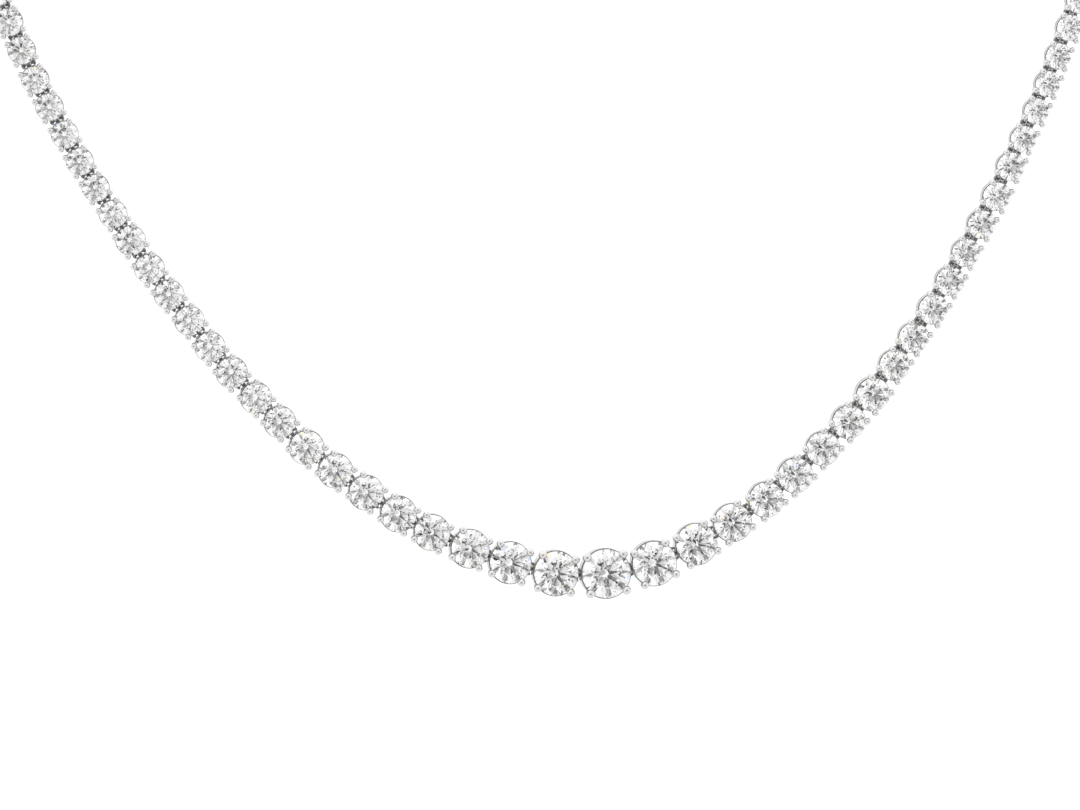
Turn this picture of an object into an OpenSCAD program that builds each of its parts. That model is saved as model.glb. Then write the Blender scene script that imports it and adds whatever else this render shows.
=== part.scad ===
// Riviere necklace: round brilliants in four claw baskets, hinged link to link,
// graduated from a large stone at the front to equal small ones round the neck.
// The loop keeps the form that it has when worn. The origin is the middle of the
// clasp's face on the nape, +Z is up, -Y is the wearer's front, +X the right side
// of someone who looks at the front.

/* [Necklace] */
// Length of the closed loop, measured along its hinges
necklace_length = 421; // [380:1:460]
// Diameter of the stone at the front
centre_stone_d = 5.35; // [4.8:0.05:5.8]
// Diameter of the smallest stones, which run round to the clasp
end_stone_d = 2.8; // [2.7:0.05:3.1]
// Gap between the collars of two neighbouring links
link_gap = 0.26; // [0.24:0.02:0.4]
// How far a hinge may sit in or out of line, which tips the links a little
hinge_stray = 0.05; // [0:0.01:0.06]
// How far a link may roll about its own length
roll_angle = 1.6; // [0:0.1:2]

/* [Stone] */
// Width of the table as a share of the stone's diameter
table_share = 0.57; // [0.53:0.01:0.6]
// Height of the crown as a share of the stone's diameter
crown_share = 0.15; // [0.12:0.01:0.165]
// Thickness of the girdle as a share of the stone's diameter
girdle_share = 0.03; // [0.02:0.005:0.04]
// Depth of the pavilion as a share of the stone's diameter
pavilion_share = 0.43; // [0.41:0.005:0.44]
// How far the star facets reach from the table towards the girdle
star_reach = 0.5; // [0.4:0.05:0.6]
// How far the lower halves reach from the girdle towards the culet
lower_half_reach = 0.78; // [0.7:0.01:0.85]

/* [Setting] */
// Clearance between a stone and the metal that holds it
seat_gap = 0.08; // [0.06:0.01:0.1]
// Outer diameter of the collar as a share of its stone's diameter
collar_share = 1.05; // [1.04:0.01:1.07]
// Wall of the collar under the girdle
collar_wall = 0.3; // [0.25:0.01:0.4]
// Width of the collar's top edge as a share of its stone's diameter
collar_lip_share = 0.042; // [0.04:0.002:0.05]
// Height of the collar's bottom edge over the hinges
collar_foot_z = 0.66; // [0.64:0.01:0.7]
// Diameter of a claw's ball tip, before its share of the stone's diameter
tip_d = 0.3; // [0.26:0.01:0.34]
// Share of the stone's diameter that is added to a ball tip's
tip_share = 0.135; // [0.12:0.005:0.14]
// Height of a ball tip's centre over the girdle as a share of the stone's diameter
tip_lift_share = 0.075; // [0.065:0.005:0.09]
// Thickness of a claw's stem, before its share of the stone's diameter
stem_d = 0.2; // [0.16:0.01:0.24]
// Share of the stone's diameter that is added to a stem's thickness
stem_share = 0.07; // [0.05:0.005:0.08]
// How far outside the girdle the middle of a claw stands
claw_out = 0.16; // [0.14:0.01:0.18]
// How far the ring at the back stands inside the collar's outer edge
base_inset = 0.52; // [0.5:0.01:0.56]
// Wall of the ring at the back
base_wall = 0.28; // [0.24:0.01:0.32]
// Height of the ring at the back
base_h = 0.42; // [0.36:0.01:0.5]
// Height of the girdle over the hinge as a share of the stone's diameter
girdle_lift_share = 0.58; // [0.56:0.005:0.6]
// How far a strut keeps inside the edges of the ring and the collar
strut_inset = 0.05; // [0.03:0.01:0.06]
// How deep a strut goes into the ring and the collar
strut_sink = 0.1; // [0.06:0.01:0.14]

/* [Hinge] */
// Diameter of the hinge pin
pin_d = 0.32; // [0.28:0.01:0.36]
// Clearance round the pin in its eye
pin_gap = 0.14; // [0.12:0.01:0.16]
// Wall of the eye round its bore
eye_wall = 0.19; // [0.16:0.01:0.22]
// Width of the eye along the pin
eye_w = 0.52; // [0.44:0.02:0.56]
// Clearance between the eye and each cheek of the fork
cheek_gap = 0.2; // [0.18:0.01:0.22]
// Thickness of each cheek of the fork
cheek_t = 0.28; // [0.24:0.01:0.34]
// Radius of a cheek round the pin
cheek_r = 0.32; // [0.28:0.01:0.34]
// How far the pin's heads stand out of the cheeks
pin_head = 0.06; // [0.04:0.01:0.1]

/* [Clasp] */
// Length of the clasp between its two hinge pins
clasp_l = 9.6; // [8:0.1:12]
// Width of the clasp's box
clasp_w = 3.2; // [2.8:0.1:4]
// Thickness of the clasp's box
clasp_t = 2; // [1.6:0.1:2.4]
// Gap between the end of the box and the next link's eye
clasp_end_gap = 0.2; // [0.15:0.01:0.3]
// Bevel along the edges of the box
clasp_bevel = 0.35; // [0.2:0.05:0.5]

/* [Hidden] */
// Links on each side of the front stone that are nodes of their own
MAIN_LINKS = 9;
// Links on each side whose stones have the full cut; the rest lie behind the neck
FULL_CUT_LINKS = 25;
SIDES = ["right", "left"];
$fn = 48;

// The route of the hinges down one side, from the middle of the front to the middle
// of the nape: points that guide a smooth curve, and the way that the stones face
// there. Turn is the compass angle of the face from the front, tilt its rise.
// Columns: x, y, z, turn, tilt
ROUTE = [
    [0, -89.9, -95.4, 0, 34],
    [10.6, -88.4, -92.9, -2, 33],
    [20.9, -85.8, -87.8, -3, 30],
    [30.7, -82.3, -80.1, -4, 26],
    [39.5, -78.4, -69.9, -5, 23],
    [47.6, -73.9, -57.3, -5, 22],
    [54.5, -69.2, -43.8, -3, 19],
    [59.4, -64.5, -30, -1, 21],
    [61.9, -59.4, -17.8, 9, 26],
    [61.7, -52.2, -8.3, 29, 33],
    [58.8, -42.7, -2.1, 56, 41],
    [53.5, -32, 1.2, 86, 47],
    [46, -21.5, 2.5, 114, 49],
    [36.5, -12.5, 2.5, 136, 46],
    [25, -5.5, 1, 154, 42],
    [13, -1, 0, 168, 38],
    [0, 0.5, 0, 180, 36]
];

// Sizes of the graduated stones from the front stone outwards, as shares of the
// difference between the front stone and the smallest ones
GRADUATION = [1, 0.81, 0.68, 0.54, 0.43, 0.42, 0.37, 0.35, 0.35,
              0.23, 0.21, 0.2, 0.15, 0.12, 0.12, 0.12, 0.11, 0.03];

// Points of the route's curve between two guide points
CURVE_STEPS = 16;
// Main facets round a stone; the full cut has a girdle of twice as many sides
MAINS = 8;
GIRDLE_SIDES = 2 * MAINS;
// Turn from one stone to the next, so that no two neighbours match
SPIN_STEP = 137.5;
// Steps of the sine waves that scatter the hinges' strays and the links' rolls
STRAY_STEP = 151;
ROLL_STEP = 103;
// How deep a claw's foot goes down the collar, as a share of the collar's height
CLAW_FOOT_SHARE = 0.85;
// Width of a strut as a share of its claw's thickness
STRUT_SHARE = 0.9;
// Height of a hinge plate's arm as a share of the back ring's height
ARM_SHARE = 0.8;

// Link sizes, counted from the front stone as link 0
function share(k) = k < len(GRADUATION) ? GRADUATION[k] : 0;
function stone_d(k) = end_stone_d + (centre_stone_d - end_stone_d) * share(k);
function pitch(k) = stone_d(k) * collar_share + link_gap;
function girdle_lift(k) = stone_d(k) * girdle_lift_share;

// Sum of the first n entries of a list
function sum(v, n, i = 0, t = 0) = i >= n ? t : sum(v, n, i + 1, t + v[i]);

graduated_pitches = [for (k = [0:len(GRADUATION) - 1]) pitch(k)];
graduated_half = sum(graduated_pitches, len(GRADUATION)) - pitch(0) / 2;
end_pitch = pitch(len(GRADUATION));
end_links = round((necklace_length / 2 - clasp_l / 2 - graduated_half) / end_pitch);
side_links = len(GRADUATION) - 1 + end_links;
pitches = [for (k = [0:side_links]) pitch(k)];
// Distance of each hinge from the middle of the front, hinge j being outside link j
hinge_s = [for (j = [0:side_links]) sum(pitches, j + 1) - pitch(0) / 2];
chain_half = hinge_s[side_links] + clasp_l / 2;

// The route as a uniform cubic B-spline, mirrored past both of its ends
last = len(ROUTE) - 1;
function over_front(p) = [-p[0], p[1], p[2], -p[3], p[4]];
function over_nape(p) = [-p[0], p[1], p[2], 360 - p[3], p[4]];
guides = concat([over_front(ROUTE[1])], ROUTE, [over_nape(ROUTE[last - 1])]);
function blend(i, t) =
    (guides[i] * pow(1 - t, 3)
     + guides[i + 1] * (3 * pow(t, 3) - 6 * t * t + 4)
     + guides[i + 2] * (-3 * pow(t, 3) + 3 * t * t + 3 * t + 1)
     + guides[i + 3] * pow(t, 3)) / 6;
curve = concat(
    [for (i = [0:last - 1]) for (n = [0:CURVE_STEPS - 1]) blend(i, n / CURVE_STEPS)],
    [blend(last - 1, 1)]
);
function place(p) = [p[0], p[1], p[2]];
steps = [for (i = [1:len(curve) - 1]) norm(place(curve[i]) - place(curve[i - 1]))];
curve_s = [for (i = 0, s = 0; i < len(curve); s = s + (i < len(steps) ? steps[i] : 0), i = i + 1) s];
curve_length = curve_s[len(curve) - 1];
// The route grows or shrinks to the length of the chain
route_scale = chain_half / curve_length;
columns = [for (c = [0:4]) [for (i = [0:len(curve) - 1]) [curve_s[i], curve[i][c]]]];
function along(s, c) = lookup(s / route_scale, columns[c]);
function route_point(s) = route_scale * [along(s, 0), along(s, 1), along(s, 2)];

function unit(v) = v / norm(v);
// The way that a stone faces at distance s from the middle of the front
function facing(s) =
    let (turn = along(s, 3), tilt = along(s, 4))
    [sin(turn) * cos(tilt), -cos(turn) * cos(tilt), sin(tilt)];
function square_to(v, u) = unit(v - (v * u) * u);

// Hinge j on the right side, with its small stray from the line of the route
stray = [for (j = [0:side_links]) j == side_links ? 0 : hinge_stray * sin(j * STRAY_STEP)];
hinge = [for (j = [0:side_links]) route_point(hinge_s[j]) + stray[j] * facing(hinge_s[j])];

// The clasp lies between the last two hinges, square to the middle of the nape
nape_facing = facing(chain_half);
clasp_middle = [0, hinge[side_links][1], hinge[side_links][2]];
clasp_pin_x = hinge[side_links][0];
origin_shift = clasp_middle - nape_facing * clasp_t / 2;

// Puts a child that is drawn along +X and faces +Z at a middle point
module frame_at(middle, u, facing_way) {
    w = square_to(facing_way, u);
    v = cross(w, u);
    c = middle - origin_shift;
    multmatrix([
        [u[0], v[0], w[0], c[0]],
        [u[1], v[1], w[1], c[1]],
        [u[2], v[2], w[2], c[2]],
        [0, 0, 0, 1]
    ]) children();
}

// Puts a child on link k of the right side, with the hinges at both ends on X
module on_link(k) {
    inner = k == 0 ? [-hinge[0][0], hinge[0][1], hinge[0][2]] : hinge[k - 1];
    outer = hinge[k];
    middle_s = k == 0 ? 0 : (hinge_s[k - 1] + hinge_s[k]) / 2;
    roll = k == 0 ? 0 : roll_angle * sin(k * ROLL_STEP);
    frame_at((inner + outer) / 2, unit(outer - inner), facing(middle_s))
        rotate([roll, 0, 0]) children();
}

module on_side(side) {
    if (side == "left") mirror([1, 0, 0]) children();
    else children();
}

// Corners of a ring of n points
function ring(n, radius, z, start) =
    [for (i = [0:n - 1]) let (a = start + i * 360 / n) [radius * cos(a), radius * sin(a), z]];

// A round brilliant with its girdle at the origin, table up
module full_cut(d) {
    r = d / 2;
    half_girdle = d * girdle_share / 2;
    table_r = r * table_share;
    girdle_step = 360 / GIRDLE_SIDES;
    star_r = table_r * cos(girdle_step) * (1 - star_reach) + r * star_reach;
    star_z = half_girdle + (r - star_r * cos(girdle_step)) * crown_slope;
    lower_r = r * (1 - lower_half_reach);
    lower_z = -half_girdle - (r - lower_r * cos(girdle_step)) * pavilion_slope;
    points = concat(
        ring(MAINS, table_r, half_girdle + d * crown_share, 0),
        ring(MAINS, star_r, star_z, girdle_step),
        ring(GIRDLE_SIDES, r, half_girdle, 0),
        ring(GIRDLE_SIDES, r, -half_girdle, 0),
        ring(MAINS, lower_r, lower_z, girdle_step),
        [[0, 0, -half_girdle - d * pavilion_share]]
    );
    function table_i(i) = i % MAINS;
    function star_i(i) = MAINS + (i + MAINS) % MAINS;
    function top_i(i) = 2 * MAINS + i % GIRDLE_SIDES;
    function bottom_i(i) = top_i(i) + GIRDLE_SIDES;
    function lower_i(i) = 2 * MAINS + 2 * GIRDLE_SIDES + (i + MAINS) % MAINS;
    culet = len(points) - 1;
    facets = concat(
        [[for (i = [0:MAINS - 1]) table_i(MAINS - 1 - i)]],
        [for (i = [0:MAINS - 1]) each [
            [table_i(i), table_i(i + 1), star_i(i)],
            [table_i(i), star_i(i), top_i(2 * i)],
            [table_i(i), top_i(2 * i), star_i(i - 1)],
            [star_i(i), top_i(2 * i + 1), top_i(2 * i)],
            [star_i(i), top_i(2 * i + 2), top_i(2 * i + 1)],
            [lower_i(i), bottom_i(2 * i), bottom_i(2 * i + 1)],
            [lower_i(i), bottom_i(2 * i + 1), bottom_i(2 * i + 2)],
            [culet, lower_i(i - 1), bottom_i(2 * i)],
            [culet, bottom_i(2 * i), lower_i(i)]
        ]],
        [for (i = [0:GIRDLE_SIDES - 1]) [top_i(i), top_i(i + 1), bottom_i(i + 1), bottom_i(i)]]
    );
    polyhedron(points, facets);
}

// The simple cut of the hidden stones: a table, eight crown facets and eight below
module single_cut(d) {
    half_girdle = d * girdle_share / 2;
    points = concat(
        ring(MAINS, d / 2 * table_share, half_girdle + d * crown_share, 0),
        ring(MAINS, d / 2, half_girdle, 0),
        ring(MAINS, d / 2, -half_girdle, 0),
        [[0, 0, -half_girdle - d * pavilion_share]]
    );
    culet = 3 * MAINS;
    function level_i(level, i) = level * MAINS + i % MAINS;
    facets = concat(
        [[for (i = [0:MAINS - 1]) MAINS - 1 - i]],
        [for (level = [0:1]) for (i = [0:MAINS - 1])
            [level_i(level, i), level_i(level, i + 1), level_i(level + 1, i + 1), level_i(level + 1, i)]],
        [for (i = [0:MAINS - 1]) [level_i(2, i), level_i(2, i + 1), culet]]
    );
    polyhedron(points, facets);
}

// Slopes of a stone's pavilion and crown, as rise over run
pavilion_slope = 2 * pavilion_share;
crown_slope = 2 * crown_share / (1 - table_share);

// Height of the collar's top edge against the girdle, low enough for its seat to clear
// the pavilion by the seat gap
seat_slack = seat_gap * sqrt(1 + pow(pavilion_slope, 2));
function collar_top(d) =
    -d * girdle_share / 2 - seat_slack
    - (d / 2 - d * collar_share / 2 + d * collar_lip_share) * pavilion_slope;
function collar_bottom(d) = collar_foot_z - d * girdle_lift_share;
function collar_h(d) = collar_top(d) - collar_bottom(d);
// Outer radius of the ring at the back
function base_r(d) = d * collar_share / 2 - base_inset;

// The collar under the girdle: a straight wall with a sloping seat inside its top edge
module collar(d) {
    outer_r = d * collar_share / 2;
    inner_r = outer_r - collar_wall;
    top = collar_top(d);
    bottom = collar_bottom(d);
    lip = d * collar_lip_share;
    seat_bottom = top - (collar_wall - lip) * pavilion_slope;
    rotate_extrude() polygon([
        [inner_r, bottom], [outer_r, bottom], [outer_r, top],
        [outer_r - lip, top], [inner_r, seat_bottom]
    ]);
}

// One claw on the +X side, with the stone's girdle at the origin: a round upright on
// the collar and a ball tip over the crown, both cut back where they pass the stone
module claw(d) {
    reach = d / 2 + claw_out;
    stem = stem_d + d * stem_share;
    tip_r = (tip_d + d * tip_share) / 2;
    girdle_z = d * girdle_share / 2;
    tip_z = girdle_z + d * tip_lift_share;
    foot_z = collar_top(d) - CLAW_FOOT_SHARE * collar_h(d);
    notch_z = collar_top(d) + seat_gap / 2;
    notch_top = girdle_z + (tip_r - claw_out) * crown_slope
                + seat_gap * sqrt(1 + pow(crown_slope, 2));
    difference() {
        union() {
            translate([reach, 0, foot_z]) cylinder(d = stem, h = tip_z - foot_z);
            translate([reach, 0, tip_z]) sphere(r = tip_r);
        }
        translate([reach - 2 * tip_r, -2 * tip_r, notch_z])
            cube([2 * tip_r + seat_gap - claw_out, 4 * tip_r, notch_top - notch_z]);
    }
}

// One strut on the +X side, from the back ring out to the collar under a claw
module strut(d) {
    ring_out = base_r(d) - strut_inset;
    ring_in = base_r(d) - base_wall + strut_inset;
    collar_out = d * collar_share / 2 - strut_inset;
    collar_in = d * collar_share / 2 - collar_wall + strut_inset;
    ring_top = base_h / 2 - d * girdle_lift_share;
    foot_z = collar_bottom(d);
    width = STRUT_SHARE * (stem_d + d * stem_share);
    translate([0, width / 2, 0]) rotate([90, 0, 0]) linear_extrude(width) polygon([
        [ring_in, ring_top - strut_sink], [ring_out, ring_top - strut_sink],
        [ring_out, ring_top - strut_sink / 2], [collar_out, foot_z + strut_sink / 2],
        [collar_out, foot_z + strut_sink], [collar_in, foot_z + strut_sink],
        [collar_in, foot_z + strut_sink / 2], [ring_in, ring_top - strut_sink / 2]
    ]);
}

// The ring at the back of a setting, at the height of the hinges
module back_ring(d) {
    translate([0, 0, -base_h / 2]) rotate_extrude()
        translate([base_r(d) - base_wall, 0]) square([base_wall, base_h]);
}

// Sizes that the eye and the fork share
bore_d = pin_d + 2 * pin_gap;
eye_d = bore_d + 2 * eye_wall;
cheek_in = eye_w / 2 + cheek_gap;
cheek_out = cheek_in + cheek_t;

// A flat plate across the pin: a round end at distance reach along X and an arm
// back to root, drawn in the XZ plane and centred at y
module plate(root, reach, y, thickness, round_d, bore) {
    arm_h = ARM_SHARE * base_h;
    translate([0, y + thickness / 2, 0]) rotate([90, 0, 0]) linear_extrude(thickness)
        difference() {
            union() {
                translate([reach, 0]) circle(d = round_d);
                translate([root, -arm_h / 2]) square([reach - root, arm_h]);
            }
            if (bore > 0) translate([reach, 0]) circle(d = bore);
        }
}

// The eye round the next link's pin
module eye(root, reach) {
    plate(root, reach, 0, eye_w, eye_d, bore_d);
}

// The fork: two cheeks and the pin between them
module fork(root, reach) {
    for (way = [-1, 1])
        plate(root, reach, way * (cheek_in + cheek_t / 2), cheek_t, 2 * cheek_r, 0);
    translate([reach, 0, 0]) rotate([90, 0, 0])
        cylinder(d = pin_d, h = 2 * (cheek_out + pin_head), center = true);
}

// The metal of link k on the right side, drawn along X with its hinges on X
module link_metal(k) {
    d = stone_d(k);
    half = norm(hinge[k] - (k == 0 ? [-hinge[0][0], hinge[0][1], hinge[0][2]] : hinge[k - 1])) / 2;
    ring_r = base_r(d);
    eye_root = ring_r - base_wall / 2;
    fork_root = (sqrt(pow(ring_r, 2) - pow(cheek_out, 2))
                 + sqrt(pow(ring_r - base_wall, 2) - pow(cheek_in, 2))) / 2;
    translate([0, 0, girdle_lift(k)]) {
        collar(d);
        for (a = [45:90:315]) rotate([0, 0, a]) {
            claw(d);
            strut(d);
        }
    }
    back_ring(d);
    eye(eye_root, half);
    if (k == 0) mirror([1, 0, 0]) eye(eye_root, half);
    else mirror([1, 0, 0]) fork(fork_root, half);
}

module setting(k) {
    color("gainsboro") on_link(k) link_metal(k);
}

module stone(k) {
    color("white") on_link(k) translate([0, 0, girdle_lift(k)]) rotate([0, 0, k * SPIN_STEP]) {
        if (k <= FULL_CUT_LINKS) full_cut(stone_d(k));
        else single_cut(stone_d(k));
    }
}

// The links past the main ones, round to the clasp
module chain_settings() {
    for (k = [MAIN_LINKS + 1:side_links]) setting(k);
}

module chain_stones() {
    for (k = [MAIN_LINKS + 1:side_links]) stone(k);
}

// A plain box clasp, with a fork at each end for the last links' eyes
module clasp() {
    box_half = clasp_pin_x - eye_d / 2 - clasp_end_gap;
    b = clasp_bevel;
    color("gainsboro") frame_at(clasp_middle, [-1, 0, 0], nape_facing) {
        translate([-box_half, 0, 0]) rotate([90, 0, 90]) linear_extrude(2 * box_half)
            polygon([
                [-clasp_w / 2 + b, -clasp_t / 2], [clasp_w / 2 - b, -clasp_t / 2],
                [clasp_w / 2, -clasp_t / 2 + b], [clasp_w / 2, clasp_t / 2 - b],
                [clasp_w / 2 - b, clasp_t / 2], [-clasp_w / 2 + b, clasp_t / 2],
                [-clasp_w / 2, clasp_t / 2 - b], [-clasp_w / 2, -clasp_t / 2 + b]
            ]);
        for (way = [0, 1]) mirror([way, 0, 0]) fork(box_half - b, clasp_pin_x);
    }
}

clasp();
setting(0);  // setting_centre
stone(0);  // stone_centre
for (side = SIDES) {
    for (k = [1:MAIN_LINKS]) {
        on_side(side) setting(k);
        on_side(side) stone(k);
    }
    on_side(side) chain_settings();
    on_side(side) chain_stones();
}
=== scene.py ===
# Riviere necklace: round brilliants in polished white gold claw baskets, in the form
# that the necklace has when worn, over a plain white floor in soft studio light.
import math

import bmesh
import bpy
import numpy as np
from mathutils import Matrix, Vector


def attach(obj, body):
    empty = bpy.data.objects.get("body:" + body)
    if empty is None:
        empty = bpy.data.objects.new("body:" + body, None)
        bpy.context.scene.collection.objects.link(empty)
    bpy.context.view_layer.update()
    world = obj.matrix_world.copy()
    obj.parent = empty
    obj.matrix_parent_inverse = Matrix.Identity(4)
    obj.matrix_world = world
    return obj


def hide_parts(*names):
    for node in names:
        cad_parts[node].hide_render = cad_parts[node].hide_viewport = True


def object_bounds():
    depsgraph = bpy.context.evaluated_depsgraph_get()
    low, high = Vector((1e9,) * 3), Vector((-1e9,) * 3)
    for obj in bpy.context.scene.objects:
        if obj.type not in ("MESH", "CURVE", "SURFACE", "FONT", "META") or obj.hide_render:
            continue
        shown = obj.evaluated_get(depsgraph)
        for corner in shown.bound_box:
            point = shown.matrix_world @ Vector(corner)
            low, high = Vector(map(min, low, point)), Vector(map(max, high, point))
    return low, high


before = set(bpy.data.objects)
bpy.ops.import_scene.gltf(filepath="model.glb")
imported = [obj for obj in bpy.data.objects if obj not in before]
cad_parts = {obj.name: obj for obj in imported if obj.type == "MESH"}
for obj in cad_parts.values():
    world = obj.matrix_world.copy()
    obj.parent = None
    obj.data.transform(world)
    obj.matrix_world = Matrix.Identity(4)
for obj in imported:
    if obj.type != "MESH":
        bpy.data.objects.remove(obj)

cad_low, cad_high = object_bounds()

MM = 0.001

# Chain, in millimetres and degrees: the same driving sizes as the solids
NECKLACE_LENGTH = 421
CENTRE_STONE_D = 5.35
END_STONE_D = 2.8
LINK_GAP = 0.26
HINGE_STRAY = 0.05
STRAY_STEP = 151
ROLL_ANGLE = 1.6
ROLL_STEP = 103
SPIN_STEP = 137.5
MAIN_LINKS = 9
SIDES = ("right", "left")

# The route of the hinges down one side, from the middle of the front to the middle of
# the nape. Columns: x, y, z, compass turn of the stones' faces, rise of their faces
ROUTE = (
    (0, -89.9, -95.4, 0, 34),
    (10.6, -88.4, -92.9, -2, 33),
    (20.9, -85.8, -87.8, -3, 30),
    (30.7, -82.3, -80.1, -4, 26),
    (39.5, -78.4, -69.9, -5, 23),
    (47.6, -73.9, -57.3, -5, 22),
    (54.5, -69.2, -43.8, -3, 19),
    (59.4, -64.5, -30, -1, 21),
    (61.9, -59.4, -17.8, 9, 26),
    (61.7, -52.2, -8.3, 29, 33),
    (58.8, -42.7, -2.1, 56, 41),
    (53.5, -32, 1.2, 86, 47),
    (46, -21.5, 2.5, 114, 49),
    (36.5, -12.5, 2.5, 136, 46),
    (25, -5.5, 1, 154, 42),
    (13, -1, 0, 168, 38),
    (0, 0.5, 0, 180, 36),
)
CURVE_STEPS = 16

# Sizes of the graduated stones, as shares of the step from the smallest to the largest
GRADUATION = (1, 0.81, 0.68, 0.54, 0.43, 0.42, 0.37, 0.35, 0.35,
              0.23, 0.21, 0.2, 0.15, 0.12, 0.12, 0.12, 0.11, 0.03)

# Stone: its shares of the diameter, then the numbers of its cut
TABLE_SHARE = 0.57
CROWN_SHARE = 0.15
GIRDLE_SHARE = 0.03
PAVILION_SHARE = 0.43
STAR_REACH = 0.5
LOWER_HALF_REACH = 0.78
CULET_SHARE = 0.02
PAVILION_SLOPE = 2 * PAVILION_SHARE
CROWN_SLOPE = 2 * CROWN_SHARE / (1 - TABLE_SHARE)
MAIN_FACETS = 8
GIRDLE_SIDES = 64
BLANK_H = 2
CUT_TOLERANCE = 1e-7
WELD_DISTANCE = 1e-5

# Setting, in millimetres and degrees, or as shares of its stone's diameter
SEAT_GAP = 0.08
COLLAR_SHARE = 1.05
COLLAR_WALL = 0.3
COLLAR_LIP_SHARE = 0.042
COLLAR_FOOT_Z = 0.66
GROOVE_SHARE = 0.55
GROOVE_W = 0.14
GROOVE_DEEP = 0.08
FOOT_CHAMFER = 0.1
COLLAR_SOFT = 0.05
CLAW_ANGLE = 45
TIP_D = 0.3
TIP_SHARE = 0.135
TIP_LIFT_SHARE = 0.075
STEM_D = 0.2
STEM_SHARE = 0.07
CLAW_OUT = 0.16
CLAW_SINK = 0.1
CLAW_CLEARANCE = 0.03
BASE_INSET = 0.52
BASE_WALL = 0.28
BASE_H = 0.42
BASE_SOFT = 0.08
GIRDLE_LIFT_SHARE = 0.58
ARM_H = 0.34

# A claw's bar: how deep its shoulder lies in the collar's wall and how far up the collar
# its neck is, as shares of the wall and the height, and its width at the foot, shoulder,
# neck and tip, as shares of its full width
SHOULDER_DEPTH_SHARE = 0.35
NECK_RISE_SHARE = 0.4
CLAW_TAPER = (0.72, 0.9, 1, 0.96)
CLAW_STEPS = 3
BEAD_EXTRA_SIDES = 4
BEAD_RINGS = 10

# Hinge
PIN_D = 0.32
PIN_GAP = 0.14
EYE_WALL = 0.19
EYE_W = 0.52
CHEEK_GAP = 0.2
CHEEK_T = 0.28
CHEEK_R = 0.32
PIN_HEAD = 0.06
HINGE_SOFT = 0.04
EYE_STEPS = 22
CHEEK_STEPS = 14
PIN_SIDES = 16
PIN_AXIS_R = 0.001
BORE_D = PIN_D + 2 * PIN_GAP
EYE_D = BORE_D + 2 * EYE_WALL
CHEEK_IN = EYE_W / 2 + CHEEK_GAP
CHEEK_OUT = CHEEK_IN + CHEEK_T

# Clasp
CLASP_L = 9.6
CLASP_W = 3.2
CLASP_T = 2
CLASP_END_GAP = 0.2
CLASP_BEVEL = 0.35
CLASP_EDGE_SOFT = 0.12
CLASP_EDGE_STEPS = 3
CLASP_RIM_SOFT = 0.1

# Photograph: its width in pixels, and the camera found by fitting the links' places
PHOTO_W = 1080
CAMERA_AZIMUTH = -7.85
CAMERA_ELEVATION = 32.93
CAMERA_ROLL = -1.03
CAMERA_DISTANCE = 268 * MM
CAMERA_TARGET = (-6.61 * MM, -88 * MM, -71.39 * MM)
FOCAL_PX = 2521.75
SENSOR_W = 36
CLIP_NEAR = 0.01
CLIP_FAR = 50

# Floor, in metres
FLOOR_DROP = 0.2
FLOOR_Z = cad_low.z - FLOOR_DROP
FLOOR_SIZE = 12

# A corner's rounding takes at most this share of either of its edges
MAX_SOFT_SHARE = 0.45


# Where the links stand

def share(k):
    return GRADUATION[k] if k < len(GRADUATION) else 0


def stone_d(k):
    return END_STONE_D + (CENTRE_STONE_D - END_STONE_D) * share(k)


def pitch(k):
    return stone_d(k) * COLLAR_SHARE + LINK_GAP


def girdle_lift(k):
    return stone_d(k) * GIRDLE_LIFT_SHARE


def sin_deg(angle):
    return math.sin(math.radians(angle))


def cos_deg(angle):
    return math.cos(math.radians(angle))


def direction(turn, rise):
    """A unit vector by its compass turn from the front and its rise, in degrees."""
    return (sin_deg(turn) * cos_deg(rise), -cos_deg(turn) * cos_deg(rise), sin_deg(rise))


def unit(v):
    return v / np.linalg.norm(v)


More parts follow.
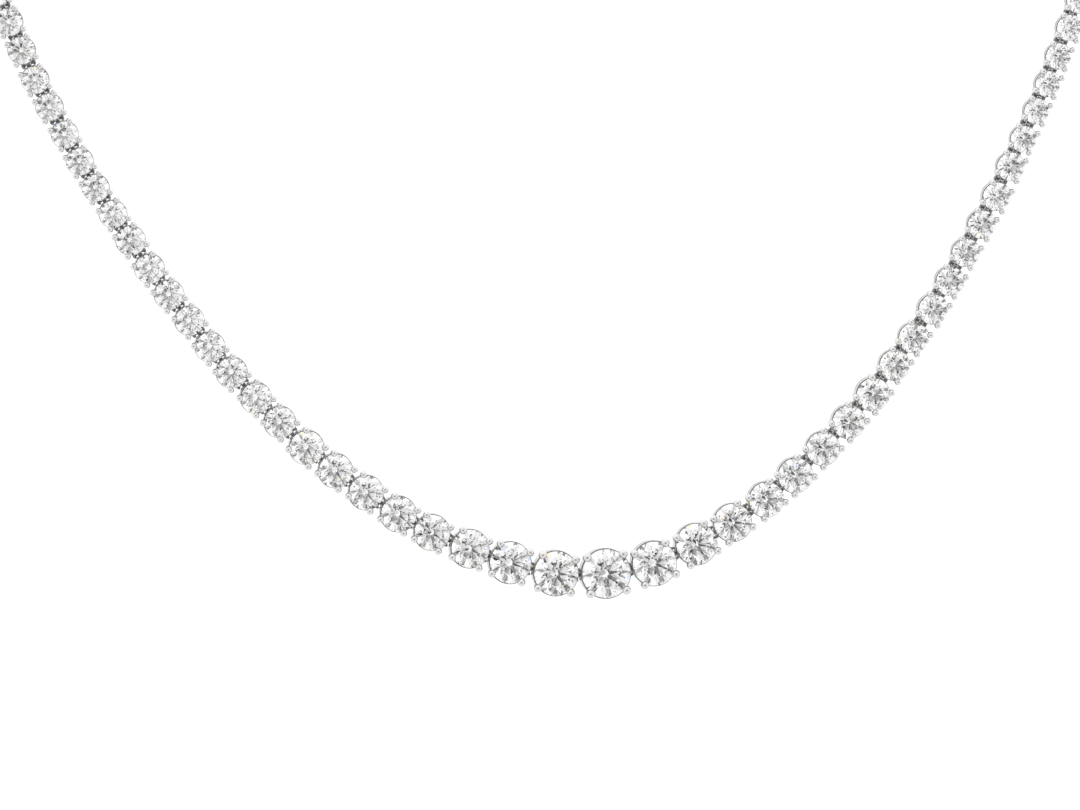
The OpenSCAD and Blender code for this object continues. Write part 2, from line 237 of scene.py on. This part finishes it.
class Chain:
    """The right side's hinges and link frames, in millimetres."""

    def __init__(self):
        graduated = sum(pitch(k) for k in range(len(GRADUATION))) - pitch(0) / 2
        room = NECKLACE_LENGTH / 2 - CLASP_L / 2 - graduated
        self.links = len(GRADUATION) - 1 + round(room / END_PITCH)
        pitches = [pitch(k) for k in range(self.links + 1)]
        self.hinge_s = np.cumsum(pitches) - pitch(0) / 2
        self.half = self.hinge_s[-1] + CLASP_L / 2
        self.curve = self.spline()
        steps = np.linalg.norm(np.diff(self.curve[:, :3], axis=0), axis=1)
        self.curve_s = np.concatenate([[0], np.cumsum(steps)])
        self.scale = self.half / self.curve_s[-1]
        self.hinges = [self.point(s) + self.stray(j) * self.facing(s)
                       for j, s in enumerate(self.hinge_s)]
        self.nape_facing = self.facing(self.half)
        self.pin_x = self.hinges[-1][0]
        self.clasp_middle = self.hinges[-1] * (0, 1, 1)
        self.origin = self.clasp_middle - self.nape_facing * CLASP_T / 2

    def spline(self):
        """A smooth curve past the route's points: a cubic B-spline, mirrored at its ends."""
        route = np.array(ROUTE, float)
        mirror = (-1, 1, 1, -1, 1)
        before = route[1] * mirror
        after = route[-2] * mirror + (0, 0, 0, 360, 0)
        guides = np.vstack([before, route, after])
        rows = []
        for i in range(len(route) - 1):
            last = i == len(route) - 2
            for n in range(CURVE_STEPS + last):
                t = n / CURVE_STEPS
                weights = ((1 - t) ** 3, 3 * t ** 3 - 6 * t * t + 4,
                           -3 * t ** 3 + 3 * t * t + 3 * t + 1, t ** 3)
                rows.append(np.array(weights) @ guides[i:i + 4] / 6)
        return np.array(rows)

    def along(self, s, column):
        return np.interp(s / self.scale, self.curve_s, self.curve[:, column])

    def point(self, s):
        return self.scale * np.array([self.along(s, c) for c in range(3)])

    def facing(self, s):
        return np.array(direction(self.along(s, 3), self.along(s, 4)))

    def stray(self, j):
        """How far hinge j stands out of line. The last one, at the clasp, doesn't."""
        return 0 if j == self.links else HINGE_STRAY * sin_deg(j * STRAY_STEP)

    def placed(self, middle, along, faces, roll=0):
        """The frame with X along the link and Z towards where it faces, turned by the roll."""
        w = unit(faces - (faces @ along) * along)
        v = np.cross(w, along)
        c, s = cos_deg(roll), sin_deg(roll)
        axes = np.stack([along, v * c + w * s, w * c - v * s], axis=1)
        place = Matrix.Identity(4)
        for row in range(3):
            for column in range(3):
                place[row][column] = axes[row][column]
            place[row][3] = middle[row] - self.origin[row]
        return place

    def ends(self, k):
        inner = self.hinges[0] * (-1, 1, 1) if k == 0 else self.hinges[k - 1]
        return inner, self.hinges[k]

    def half_length(self, k):
        inner, outer = self.ends(k)
        return np.linalg.norm(outer - inner) / 2

    def link(self, k):
        inner, outer = self.ends(k)
        middle_s = 0 if k == 0 else (self.hinge_s[k - 1] + self.hinge_s[k]) / 2
        roll = 0 if k == 0 else ROLL_ANGLE * sin_deg(k * ROLL_STEP)
        return self.placed((inner + outer) / 2, unit(outer - inner), self.facing(middle_s), roll)

    def clasp(self):
        return self.placed(self.clasp_middle, np.array((-1.0, 0, 0)), self.nape_facing)


END_PITCH = pitch(len(GRADUATION))
chain = Chain()


# Mesh tools. A shape is a list of points and a list of faces, in millimetres.

class Shape:
    """Points, faces, and for each face whether it takes the darker unpolished metal, which is partly
    painted shade.
    """

    def __init__(self, points=None, faces=None, dull_and_shaded=None):
        self.points = np.zeros((0, 3)) if points is None else np.array(points, float).reshape(-1, 3)
        self.faces = [] if faces is None else list(faces)
        self.dull_and_shaded = [False] * len(self.faces) if dull_and_shaded is None else list(dull_and_shaded)

    def add(self, other):
        start = len(self.points)
        self.points = np.vstack([self.points, other.points])
        self.faces += [tuple(i + start for i in face) for face in other.faces]
        self.dull_and_shaded += other.dull_and_shaded
        return self

    def moved(self, matrix):
        m = np.array(matrix)
        points = self.points @ m[:3, :3].T + m[:3, 3]
        mirrored = np.linalg.det(m[:3, :3]) < 0
        faces = [tuple(reversed(face)) for face in self.faces] if mirrored else self.faces
        return Shape(points, faces, self.dull_and_shaded)

    def dulled_and_shaded(self, where=None):
        """Gives the faces whose middle passes a test of radius and height, or all of them, the darker
        unpolished metal: painted shade on a real satin.
        """
        for i, face in enumerate(self.faces):
            x, y, z = self.points[list(face)].mean(axis=0)
            if where is None or where(math.hypot(x, y), z):
                self.dull_and_shaded[i] = True
        return self


MIRROR = Matrix.Diagonal((-1, 1, 1, 1))


def lathe(profile, sides, closed=True):
    """Turns a profile of (radius, height) points round Z."""
    n = len(profile)
    points = []
    for i in range(sides):
        a = 2 * math.pi * i / sides
        points += [(r * math.cos(a), r * math.sin(a), z) for r, z in profile]
    faces = []
    for i in range(sides):
        here, there = i * n, (i + 1) % sides * n
        for j in range(n if closed else n - 1):
            k = (j + 1) % n
            faces.append((here + j, there + j, there + k, here + k))
    return Shape(points, faces)


def softened(profile, radius, steps=2):
    """The profile with each corner rounded by steps short edges."""
    rounded = []
    n = len(profile)
    for i in range(n):
        before, corner, after = (np.array(profile[(i + j) % n], float) for j in (-1, 0, 1))
        start, end = (corner + unit(edge) * min(radius, np.linalg.norm(edge) * MAX_SOFT_SHARE)
                      for edge in (before - corner, after - corner))
        for step in range(steps + 1):
            t = step / steps
            rounded.append((1 - t) ** 2 * start + 2 * t * (1 - t) * corner + t * t * end)
    return [tuple(p) for p in rounded]


def tube(path, radii, sides):
    """A round bar along a path in the XZ plane, closed at both ends."""
    path = np.array(path, float)
    points = []
    for i, (p, radius) in enumerate(zip(path, radii)):
        ahead = path[min(i + 1, len(path) - 1)] - path[max(i - 1, 0)]
        across = unit(np.array((ahead[2], 0, -ahead[0])))
        for j in range(sides):
            a = 2 * math.pi * j / sides
            points.append(p + radius * (math.cos(a) * across + math.sin(a) * np.array((0, 1.0, 0))))
    faces = [tuple(range(sides))]
    for i in range(len(path) - 1):
        for j in range(sides):
            k = (j + 1) % sides
            here, there = i * sides, (i + 1) * sides
            faces.append((here + j, there + j, there + k, here + k))
    faces.append(tuple(reversed(range((len(path) - 1) * sides, len(path) * sides))))
    return Shape(points, faces)


def ball(centre, radius, sides, rings):
    profile = [(radius * math.sin(math.pi * i / rings), -radius * math.cos(math.pi * i / rings))
               for i in range(1, rings)]
    shape = lathe(profile, sides, closed=False)
    shape.dull_and_shaded += [False] * 2 * sides
    n = len(profile)
    bottom, top = len(shape.points), len(shape.points) + 1
    shape.points = np.vstack([shape.points, [(0, 0, -radius), (0, 0, radius)]])
    for i in range(sides):
        j = (i + 1) % sides
        shape.faces.append((bottom, j * n, i * n))
        shape.faces.append((top, i * n + n - 1, j * n + n - 1))
    shape.points += np.array(centre)
    return shape


def extruded(outline, y_middle, thickness, bevel, hole=None):
    """A flat plate across Y with softened rims, from a ring of (x, z) points. A hole is
    a second ring with as many points."""
    half = thickness / 2
    n = len(outline)

    def wall(points, inset):
        rows = ((-half, inset), (-half + bevel, 0), (half - bevel, 0), (half, inset))
        return [(x, y_middle + y, z) for y, moved in rows for x, z in inset_ring(points, moved)]

    def band(start, level):
        """The faces between two neighbouring rings, wound for the outer wall."""
        a, b = start + level * n, start + (level + 1) * n
        return [(a + i, a + (i + 1) % n, b + (i + 1) % n, b + i) for i in range(n)]

    points = wall(outline, bevel)
    faces = [face for level in range(3) for face in band(0, level)]
    if hole is None:
        return Shape(points, faces + [tuple(reversed(range(n))), tuple(range(3 * n, 4 * n))])
    start = len(points)
    points += wall(hole, -bevel)
    faces += [tuple(reversed(face)) for level in range(3) for face in band(start, level)]
    for i in range(n):
        j = (i + 1) % n
        faces.append((j, i, start + i, start + j))
        faces.append((3 * n + i, 3 * n + j, start + 3 * n + j, start + 3 * n + i))
    return Shape(points, faces)


def inset_ring(points, inset):
    """Moves each point of a ring inwards by the inset, along the mean of its edges' normals."""
    points = np.array(points, float)
    if inset == 0:
        return points
    ahead = np.roll(points, -1, axis=0) - np.roll(points, 1, axis=0)
    normal = np.stack([-ahead[:, 1], ahead[:, 0]], axis=1)
    normal /= np.linalg.norm(normal, axis=1)[:, None]
    area = np.sum(points[:, 0] * np.roll(points[:, 1], -1) - np.roll(points[:, 0], -1) * points[:, 1])
    return points + normal * inset * (1 if area > 0 else -1)


def as_object(name, shape, materials, smooth_angle=None):
    """A Blender object at the origin, from a shape in millimetres."""
    mesh = bpy.data.meshes.new(name)
    mesh.from_pydata((shape.points * MM).tolist(), [], shape.faces)
    mesh.update()
    if smooth_angle:
        mesh.shade_smooth()
        mesh.set_sharp_from_angle(angle=math.radians(smooth_angle))
    for material in materials:
        mesh.materials.append(material)
    # Flagged faces take the second material, the darker unpolished metal that is partly painted shade.
    mesh.polygons.foreach_set("material_index", np.array(shape.dull_and_shaded, dtype=np.int32))
    obj = bpy.data.objects.new(name, mesh)
    bpy.context.scene.collection.objects.link(obj)
    return obj


# The stone: a round brilliant cut from a cylinder by its facets' planes

def brilliant():
    """The brilliant of diameter 1, with its girdle at the origin, table up."""
    r = 0.5
    half_girdle = GIRDLE_SHARE / 2
    table_r = r * TABLE_SHARE
    step = 180 / MAIN_FACETS
    star_r = table_r * cos_deg(step) * (1 - STAR_REACH) + r * STAR_REACH
    star_z = (r - star_r * cos_deg(step)) * CROWN_SLOPE
    star_slope = (CROWN_SHARE - star_z) / (star_r - table_r * cos_deg(step))
    upper_slope = star_z / ((r - star_r) * cos_deg(step / 2))
    lower_r = r * (1 - LOWER_HALF_REACH)
    lower_z = (r - lower_r * cos_deg(step)) * PAVILION_SLOPE
    lower_slope = lower_z / ((r - lower_r) * cos_deg(step / 2))
    # Columns: first angle, number, slope, radius and height of a circle that it touches
    crown = (
        (0, MAIN_FACETS, CROWN_SLOPE, r, half_girdle),
        (step, MAIN_FACETS, star_slope, table_r * cos_deg(step), half_girdle + CROWN_SHARE),
        (step / 2, 2 * MAIN_FACETS, upper_slope, r * cos_deg(step / 2), half_girdle),
    )
    pavilion = (
        (0, MAIN_FACETS, PAVILION_SLOPE, r, half_girdle),
        (step / 2, 2 * MAIN_FACETS, lower_slope, r * cos_deg(step / 2), half_girdle),
    )
    bm = bmesh.new()
    bmesh.ops.create_cone(bm, cap_ends=True, segments=GIRDLE_SIDES, radius1=r, radius2=r, depth=BLANK_H)
    planes = [((0, 0, half_girdle + CROWN_SHARE), (0, 0, 1))]
    culet_z = -half_girdle - PAVILION_SHARE + CULET_SHARE / 2 * PAVILION_SLOPE
    planes.append(((0, 0, culet_z), (0, 0, -1)))
    for way, facets in ((1, crown), (-1, pavilion)):
        for first, count, slope, radius, height in facets:
            for i in range(count):
                a = math.radians(first + i * 360 / count)
                point = (radius * math.cos(a), radius * math.sin(a), way * height)
                planes.append((point, (slope * math.cos(a), slope * math.sin(a), way)))
    for point, normal in planes:
        geometry = bm.verts[:] + bm.edges[:] + bm.faces[:]
        cut = bmesh.ops.bisect_plane(bm, geom=geometry, plane_co=point, plane_no=normal,
                                     dist=CUT_TOLERANCE, clear_outer=True)
        edges = [e for e in cut["geom_cut"] if isinstance(e, bmesh.types.BMEdge)]
        if edges:
            bmesh.ops.contextual_create(bm, geom=edges)
    bmesh.ops.remove_doubles(bm, verts=bm.verts[:], dist=WELD_DISTANCE)
    bmesh.ops.recalc_face_normals(bm, faces=bm.faces[:])
    bm.verts.index_update()
    shape = Shape([v.co[:] for v in bm.verts], [tuple(v.index for v in f.verts) for f in bm.faces])
    bm.free()
    return shape


STONE = brilliant()


def stone_shape(k):
    d = stone_d(k)
    spin = Matrix.Rotation(math.radians(k * SPIN_STEP), 4, "Z")
    place = chain.link(k) @ Matrix.Translation((0, 0, girdle_lift(k))) @ spin @ Matrix.Scale(d, 4)
    return STONE.moved(place)


# The setting

def collar_top(d):
    slack = SEAT_GAP * math.sqrt(1 + PAVILION_SLOPE ** 2)
    lip_inset = d / 2 - d * COLLAR_SHARE / 2 + d * COLLAR_LIP_SHARE
    return -d * GIRDLE_SHARE / 2 - slack - lip_inset * PAVILION_SLOPE


def collar_bottom(d):
    return COLLAR_FOOT_Z - d * GIRDLE_LIFT_SHARE


def base_r(d):
    return d * COLLAR_SHARE / 2 - BASE_INSET


def collar(d, sides):
    outer_r = d * COLLAR_SHARE / 2
    inner_r = outer_r - COLLAR_WALL
    groove_r = outer_r - GROOVE_DEEP
    top = collar_top(d)
    bottom = collar_bottom(d)
    groove_top = top - (top - bottom) * GROOVE_SHARE
    groove_bottom = groove_top - GROOVE_W
    lip = d * COLLAR_LIP_SHARE
    seat_bottom = top - (COLLAR_WALL - lip) * PAVILION_SLOPE
    profile = [(inner_r, bottom), (outer_r - FOOT_CHAMFER, bottom), (outer_r, bottom + FOOT_CHAMFER),
               (outer_r, groove_bottom), (groove_r, groove_bottom), (groove_r, groove_top),
               (outer_r, groove_top), (outer_r, top), (outer_r - lip, top), (inner_r, seat_bottom)]
    shape = lathe(softened(profile, COLLAR_SOFT), sides)
    # Inside the polished radius, in the seat, the inner wall and the groove, and at the foot, the metal
    # is the darker unpolished one: real satin, with painted shade in these recesses.
    polished_r = outer_r - COLLAR_SOFT / 2
    return shape.dulled_and_shaded(lambda r, z: r < polished_r or z < bottom + FOOT_CHAMFER)


def back_ring(d, sides):
    outer_r = base_r(d)
    inner_r = outer_r - BASE_WALL
    half = BASE_H / 2
    profile = [(inner_r, -half), (outer_r, -half), (outer_r, half), (inner_r, half)]
    return lathe(softened(profile, BASE_SOFT), sides)


def clear_of_stone(shape, d):
    """Moves points that lie in the stone's cones, or nearly so, out to the clearance."""
    half_girdle = d * GIRDLE_SHARE / 2
    z = shape.points[:, 2]
    crown_r = d / 2 - np.clip(z - half_girdle, 0, None) / CROWN_SLOPE
    pavilion_r = d / 2 - np.clip(-half_girdle - z, 0, None) / PAVILION_SLOPE
    limit = np.minimum(crown_r, pavilion_r) + CLAW_CLEARANCE
    table = half_girdle + d * CROWN_SHARE
    inside = (z < table) & (limit > 0)
    radius = np.linalg.norm(shape.points[:, :2], axis=1)
    push = inside & (radius < limit)
    shape.points[push, :2] *= (limit[push] / np.maximum(radius[push], 1e-6))[:, None]
    return shape


def claw(d, lift, sides):
    """One claw on the +X side, with the girdle at the origin: a bar from the back ring
    up past the girdle and a round bead over the crown."""
    reach = d / 2 + CLAW_OUT
    stem_r = (STEM_D + d * STEM_SHARE) / 2
    tip_r = (TIP_D + d * TIP_SHARE) / 2
    tip_z = d * GIRDLE_SHARE / 2 + d * TIP_LIFT_SHARE
    bottom = collar_bottom(d)
    foot = (base_r(d) - BASE_WALL / 2, 0, BASE_H / 2 - lift - CLAW_SINK)
    shoulder = (d * COLLAR_SHARE / 2 - SHOULDER_DEPTH_SHARE * COLLAR_WALL, 0, bottom)
    neck = (reach, 0, bottom + NECK_RISE_SHARE * (collar_top(d) - bottom))
    path, radii = [], []
    corners = [np.array(p, float) for p in (foot, shoulder, neck, (reach, 0, tip_z))]
    widths = [stem_r * taper for taper in CLAW_TAPER]
    for i in range(3):
        before = corners[max(i - 1, 0)]
        after = corners[min(i + 2, 3)]
        for n in range(CLAW_STEPS):
            t = n / CLAW_STEPS
            a, b = corners[i], corners[i + 1]
            tangent_a, tangent_b = (b - before) / 2, (after - a) / 2
            path.append((2 * t ** 3 - 3 * t * t + 1) * a + (t ** 3 - 2 * t * t + t) * tangent_a
                        + (3 * t * t - 2 * t ** 3) * b + (t ** 3 - t * t) * tangent_b)
            radii.append(widths[i] * (1 - t) + widths[i + 1] * t)
    path.append(corners[3])
    radii.append(widths[3])
    shape = tube(path, radii, sides)
    shape.add(ball((reach, 0, tip_z), tip_r, sides + BEAD_EXTRA_SIDES, BEAD_RINGS))
    return clear_of_stone(shape, d)


def round_end(reach, radius, root, arm_h, steps):
    """The outline of a plate in XZ: an arc round the end and a straight arm to the root."""
    half = arm_h / 2
    start = math.asin(min(1, half / radius))
    arc = [math.pi - start - (2 * math.pi - 2 * start) * i / steps for i in range(steps + 1)]
    points = [(reach + radius * math.cos(a), radius * math.sin(a)) for a in arc]
    return points + [(root, -half), (root, half)]


def eye(root, reach):
    outline = round_end(reach, EYE_D / 2, root, ARM_H, EYE_STEPS)
    angles = [math.atan2(z, x - reach) for x, z in outline]
    hole = [(reach + BORE_D / 2 * math.cos(a), BORE_D / 2 * math.sin(a)) for a in angles]
    return extruded(outline, 0, EYE_W, HINGE_SOFT, hole)


def fork(root, reach):
    shape = Shape()
    for way in (-1, 1):
        outline = round_end(reach, CHEEK_R, root, ARM_H, CHEEK_STEPS)
        shape.add(extruded(outline, way * (CHEEK_IN + CHEEK_T / 2), CHEEK_T, HINGE_SOFT))
    end = CHEEK_OUT + PIN_HEAD
    profile = [(PIN_AXIS_R, -end), (PIN_D / 2, -end), (PIN_D / 2, end), (PIN_AXIS_R, end)]
    pin = lathe(softened(profile, HINGE_SOFT), PIN_SIDES)
    turn = Matrix.Rotation(math.radians(90), 4, "X")
    # The whole fork, cheeks and pin, takes the darker unpolished metal: real satin, with painted shade
    # in the gaps between links.
    return shape.add(pin.moved(Matrix.Translation((reach, 0, 0)) @ turn)).dulled_and_shaded()


def setting_shape(k, sides):
    """The metal of link k on the right side, with its hinges on X."""
    d = stone_d(k)
    lift = girdle_lift(k)
    half = chain.half_length(k)
    ring_r = base_r(d)
    basket = collar(d, 4 * sides)
    one = claw(d, lift, sides)
    for quarter in range(4):
        basket.add(one.moved(Matrix.Rotation(math.radians(CLAW_ANGLE + 90 * quarter), 4, "Z")))
    shape = basket.moved(Matrix.Translation((0, 0, lift)))
    shape.add(back_ring(d, 3 * sides))
    shape.add(eye(ring_r - BASE_WALL / 2, half))
    if k == 0:
        shape.add(eye(ring_r - BASE_WALL / 2, half).moved(MIRROR))
    else:
        fork_root = (math.sqrt(ring_r ** 2 - CHEEK_OUT ** 2)
                     + math.sqrt((ring_r - BASE_WALL) ** 2 - CHEEK_IN ** 2)) / 2
        shape.add(fork(fork_root, half).moved(MIRROR))
    return shape.moved(chain.link(k))


def clasp_shape():
    half = chain.pin_x - EYE_D / 2 - CLASP_END_GAP
    b = CLASP_BEVEL
    w, t = CLASP_W / 2, CLASP_T / 2
    section = [(-w + b, -t), (w - b, -t), (w, -t + b), (w, t - b),
               (w - b, t), (-w + b, t), (-w, t - b), (-w, -t + b)]
    section = softened(section, CLASP_EDGE_SOFT, CLASP_EDGE_STEPS)
    box = extruded(section, 0, 2 * half, CLASP_RIM_SOFT)
    upright = Matrix.Rotation(math.radians(90), 4, "Z")
    shape = box.moved(upright)
    for way in (Matrix.Identity(4), MIRROR):
        shape.add(fork(half - b, chain.pin_x).moved(way))
    return shape.moved(chain.clasp())


# Materials

MARK_DEPTH = 0.00002


def node_material(name):
    material = bpy.data.materials.new(name)
    material.use_nodes = True
    nodes = material.node_tree.nodes
    return material, nodes, material.node_tree.links, nodes["Principled BSDF"]


def gold(name, scale, detail, tones, spread, gloss, relief):
    """White gold with fine marks in its tone, its gloss and its surface."""
    material, nodes, links, shader = node_material(name)
    shader.inputs["Metallic"].default_value = 1
    coords = nodes.new("ShaderNodeTexCoord")
    marks = nodes.new("ShaderNodeTexNoise")
    marks.inputs["Scale"].default_value = scale
    marks.inputs["Detail"].default_value = detail
    links.new(coords.outputs["Object"], marks.inputs["Vector"])
    tone = nodes.new("ShaderNodeMix")
    tone.data_type = "RGBA"
    tone.inputs["A"].default_value, tone.inputs["B"].default_value = tones
    links.new(marks.outputs["Fac"], tone.inputs["Factor"])
    links.new(tone.outputs["Result"], shader.inputs["Base Color"])
    rough = nodes.new("ShaderNodeMapRange")
    rough.inputs["From Min"].default_value, rough.inputs["From Max"].default_value = spread
    rough.inputs["To Min"].default_value, rough.inputs["To Max"].default_value = gloss
    links.new(marks.outputs["Fac"], rough.inputs["Value"])
    links.new(rough.outputs["Result"], shader.inputs["Roughness"])
    bump = nodes.new("ShaderNodeBump")
    bump.inputs["Strength"].default_value = relief
    bump.inputs["Distance"].default_value = MARK_DEPTH
    links.new(marks.outputs["Fac"], bump.inputs["Height"])
    links.new(bump.outputs["Normal"], shader.inputs["Normal"])
    return material, shader


def polished_gold():
    """Rhodium-bright metal with the fine marks of its polishing."""
    tones = (0.68, 0.675, 0.67, 1), (0.63, 0.625, 0.62, 1)
    material, shader = gold("white_gold_polished", 2600, 3, tones, (0.3, 0.7), (0.05, 0.13), 0.05)
    shader.inputs["Specular Tint"].default_value = (0.85, 0.85, 0.86, 1)
    return material


def unpolished_and_shaded_gold():
    """The same metal in the seats, the groove and the hinges: an unpolished satin whose darker tone is
    painted shade in these recesses and between the links.
    """
    # These low tones are painted shade on top of the real satin finish.
    tones = (0.27, 0.267, 0.263, 1), (0.39, 0.386, 0.381, 1)
    return gold("white_gold_unpolished_painted_shade", 4200, 4, tones, (0, 1), (0.3, 0.5), 0.2)[0]


def diamond():
    """Colourless diamond, with a trace of warmth or coolness that drifts from stone to stone."""
    material, nodes, links, shader = node_material("diamond_clear")
    shader.inputs["Transmission Weight"].default_value = 1
    shader.inputs["Roughness"].default_value = 0
    shader.inputs["IOR"].default_value = 2.417
    coords = nodes.new("ShaderNodeTexCoord")
    drift = nodes.new("ShaderNodeTexNoise")
    drift.inputs["Scale"].default_value = 140
    links.new(coords.outputs["Object"], drift.inputs["Vector"])
    tint = nodes.new("ShaderNodeMix")
    tint.data_type = "RGBA"
    tint.inputs["A"].default_value = (1, 0.995, 0.985, 1)
    tint.inputs["B"].default_value = (0.985, 0.995, 1, 1)
    links.new(drift.outputs["Fac"], tint.inputs["Factor"])
    links.new(tint.outputs["Result"], shader.inputs["Base Color"])
    return material


def floor_paper():
    material, _, _, shader = node_material("floor_white_paper")
    shader.inputs["Roughness"].default_value = 0.9
    shader.inputs["Specular IOR Level"].default_value = 0.1
    shader.inputs["Base Color"].default_value = (0.93, 0.93, 0.93, 1)
    return material


metal = (polished_gold(), unpolished_and_shaded_gold())
gem = (diamond(),)


# Pieces: each stands for the node of the same place

def place_metal(name, shape, node):
    piece = as_object(name, shape, metal, METAL_ANGLE)
    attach(piece, "root")
    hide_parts(node)


def place_gem(name, shape, node):
    piece = as_object(name, shape, gem)
    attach(piece, "root")
    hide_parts(node)


def joined(shapes):
    whole = Shape()
    for shape in shapes:
        whole.add(shape)
    return whole


def on_side(shape, side):
    return shape.moved(MIRROR) if side == "left" else shape


MAIN_SIDES = 16
CHAIN_SIDES = 10
METAL_ANGLE = 40

place_metal("clasp_polished", clasp_shape(), "clasp")
place_metal("basket_centre", setting_shape(0, MAIN_SIDES), "setting_centre")
place_gem("brilliant_centre", stone_shape(0), "stone_centre")

basket_shapes = {k: setting_shape(k, MAIN_SIDES if k <= MAIN_LINKS else CHAIN_SIDES)
                 for k in range(1, chain.links + 1)}
stone_shapes = {k: stone_shape(k) for k in range(1, chain.links + 1)}
behind = range(MAIN_LINKS + 1, chain.links + 1)
for side in SIDES:
    for k in range(1, MAIN_LINKS + 1):
        place_metal(f"basket_{side}_{k}", on_side(basket_shapes[k], side), f"setting_{side}_{k}")
        place_gem(f"brilliant_{side}_{k}", on_side(stone_shapes[k], side), f"stone_{side}_{k}")
    baskets = on_side(joined([basket_shapes[k] for k in behind]), side)
    place_metal(f"baskets_{side}_chain", baskets, f"settings_{side}_chain")
    brilliants = on_side(joined([stone_shapes[k] for k in behind]), side)
    place_gem(f"brilliants_{side}_chain", brilliants, f"stones_{side}_chain")


# Floor

half_floor = FLOOR_SIZE / 2 / MM
floor_z = FLOOR_Z / MM
floor_shape = Shape([(-half_floor, -half_floor, floor_z), (half_floor, -half_floor, floor_z),
                     (half_floor, half_floor, floor_z), (-half_floor, half_floor, floor_z)],
                    [(0, 1, 2, 3)])
as_object("floor", floor_shape, (floor_paper(),))


# Light: a bright white studio all round, with grey and dark cards on its front half

ROOM_STRENGTH = 1.45
ROOM_COLOUR = (1, 1, 1, 1)

# Columns: azimuth and elevation of the middle, half angles where the card is full and
# where its fading edge ends, strength
CARDS = (
    (0, 15, 34, 56, 0.95),
    (-5, 28, 16, 22, 0.45),
    (-6, 30, 10, 15, 0.1),
    (-7.8, 33, 3, 5.5, 0.8),
    (45, 20, 4, 7, 0.05),
    (-50, 25, 4, 7, 0.05),
    (15, 62, 4, 7, 0.05),
    (-22, 60, 4, 7, 0.05),
    (60, 70, 4, 7, 0.05),
    (-60, 5, 4, 7, 0.05),
    (0, -5, 4, 7, 0.05),
    (22, 6, 4, 6, 0.05),
    (-26, 8, 4, 6, 0.05),
    (80, 40, 7, 10, 0.05),
    (-85, 40, 7, 10, 0.05),
)

# Small coloured reflectors, which give the stones their few flashes of blue and amber.
# Columns: as above, with a colour in place of the strength
FLASHES = (
    (35, 58, 2.5, 4.5, (0.5, 0.7, 1.05, 1)),
    (-50, 42, 2.5, 4, (1.1, 0.8, 0.5, 1)),
)


def card_mask(nodes, links, coords, azimuth, elevation, full, end):
    """One inside a round card in the sky, fading to nought at its edge."""
    dot = nodes.new("ShaderNodeVectorMath")
    dot.operation = "DOT_PRODUCT"
    dot.inputs[1].default_value = direction(azimuth, elevation)
    links.new(coords.outputs["Generated"], dot.inputs[0])
    edge = nodes.new("ShaderNodeMapRange")
    edge.interpolation_type = "SMOOTHSTEP"
    edge.inputs["From Min"].default_value = cos_deg(end)
    edge.inputs["From Max"].default_value = cos_deg(full)
    links.new(dot.outputs["Value"], edge.inputs["Value"])
    return edge.outputs["Result"]


def with_cards(nodes, links, coords, cards, data_type, room):
    """The room's value with each card's laid over it, as the last node's output."""
    result = None
    for azimuth, elevation, full, end, card in cards:
        mix = nodes.new("ShaderNodeMix")
        mix.data_type = data_type
        links.new(card_mask(nodes, links, coords, azimuth, elevation, full, end), mix.inputs["Factor"])
        if result is None:
            mix.inputs["A"].default_value = room
        else:
            links.new(result, mix.inputs["A"])
        mix.inputs["B"].default_value = card
        result = mix.outputs["Result"]
    return result


def studio_light():
    world = bpy.data.worlds.new("studio")
    bpy.context.scene.world = world
    world.use_nodes = True
    nodes, links = world.node_tree.nodes, world.node_tree.links
    background = nodes["Background"]
    coords = nodes.new("ShaderNodeTexCoord")
    strength = with_cards(nodes, links, coords, CARDS, "FLOAT", ROOM_STRENGTH)
    links.new(strength, background.inputs["Strength"])
    colour = with_cards(nodes, links, coords, FLASHES, "RGBA", ROOM_COLOUR)
    links.new(colour, background.inputs["Color"])


studio_light()
bpy.context.scene.view_settings.view_transform = "Standard"


# Camera

def photo_camera():
    back = Vector(direction(CAMERA_AZIMUTH, CAMERA_ELEVATION))
    right = Vector((cos_deg(CAMERA_AZIMUTH), sin_deg(CAMERA_AZIMUTH), 0))
    up = back.cross(right)
    rolled_right = right * cos_deg(CAMERA_ROLL) + up * sin_deg(CAMERA_ROLL)
    rolled_up = up * cos_deg(CAMERA_ROLL) - right * sin_deg(CAMERA_ROLL)
    data = bpy.data.cameras.new("photo_camera")
    data.sensor_width = SENSOR_W
    data.lens = SENSOR_W * FOCAL_PX / PHOTO_W
    data.clip_start = CLIP_NEAR
    data.clip_end = CLIP_FAR
    camera = bpy.data.objects.new("photo_camera", data)
    bpy.context.scene.collection.objects.link(camera)
    place = Matrix((rolled_right, rolled_up, back)).transposed().to_4x4()
    place.translation = Vector(CAMERA_TARGET) + back * CAMERA_DISTANCE
    camera.matrix_world = place
    bpy.context.scene.camera = camera


photo_camera()
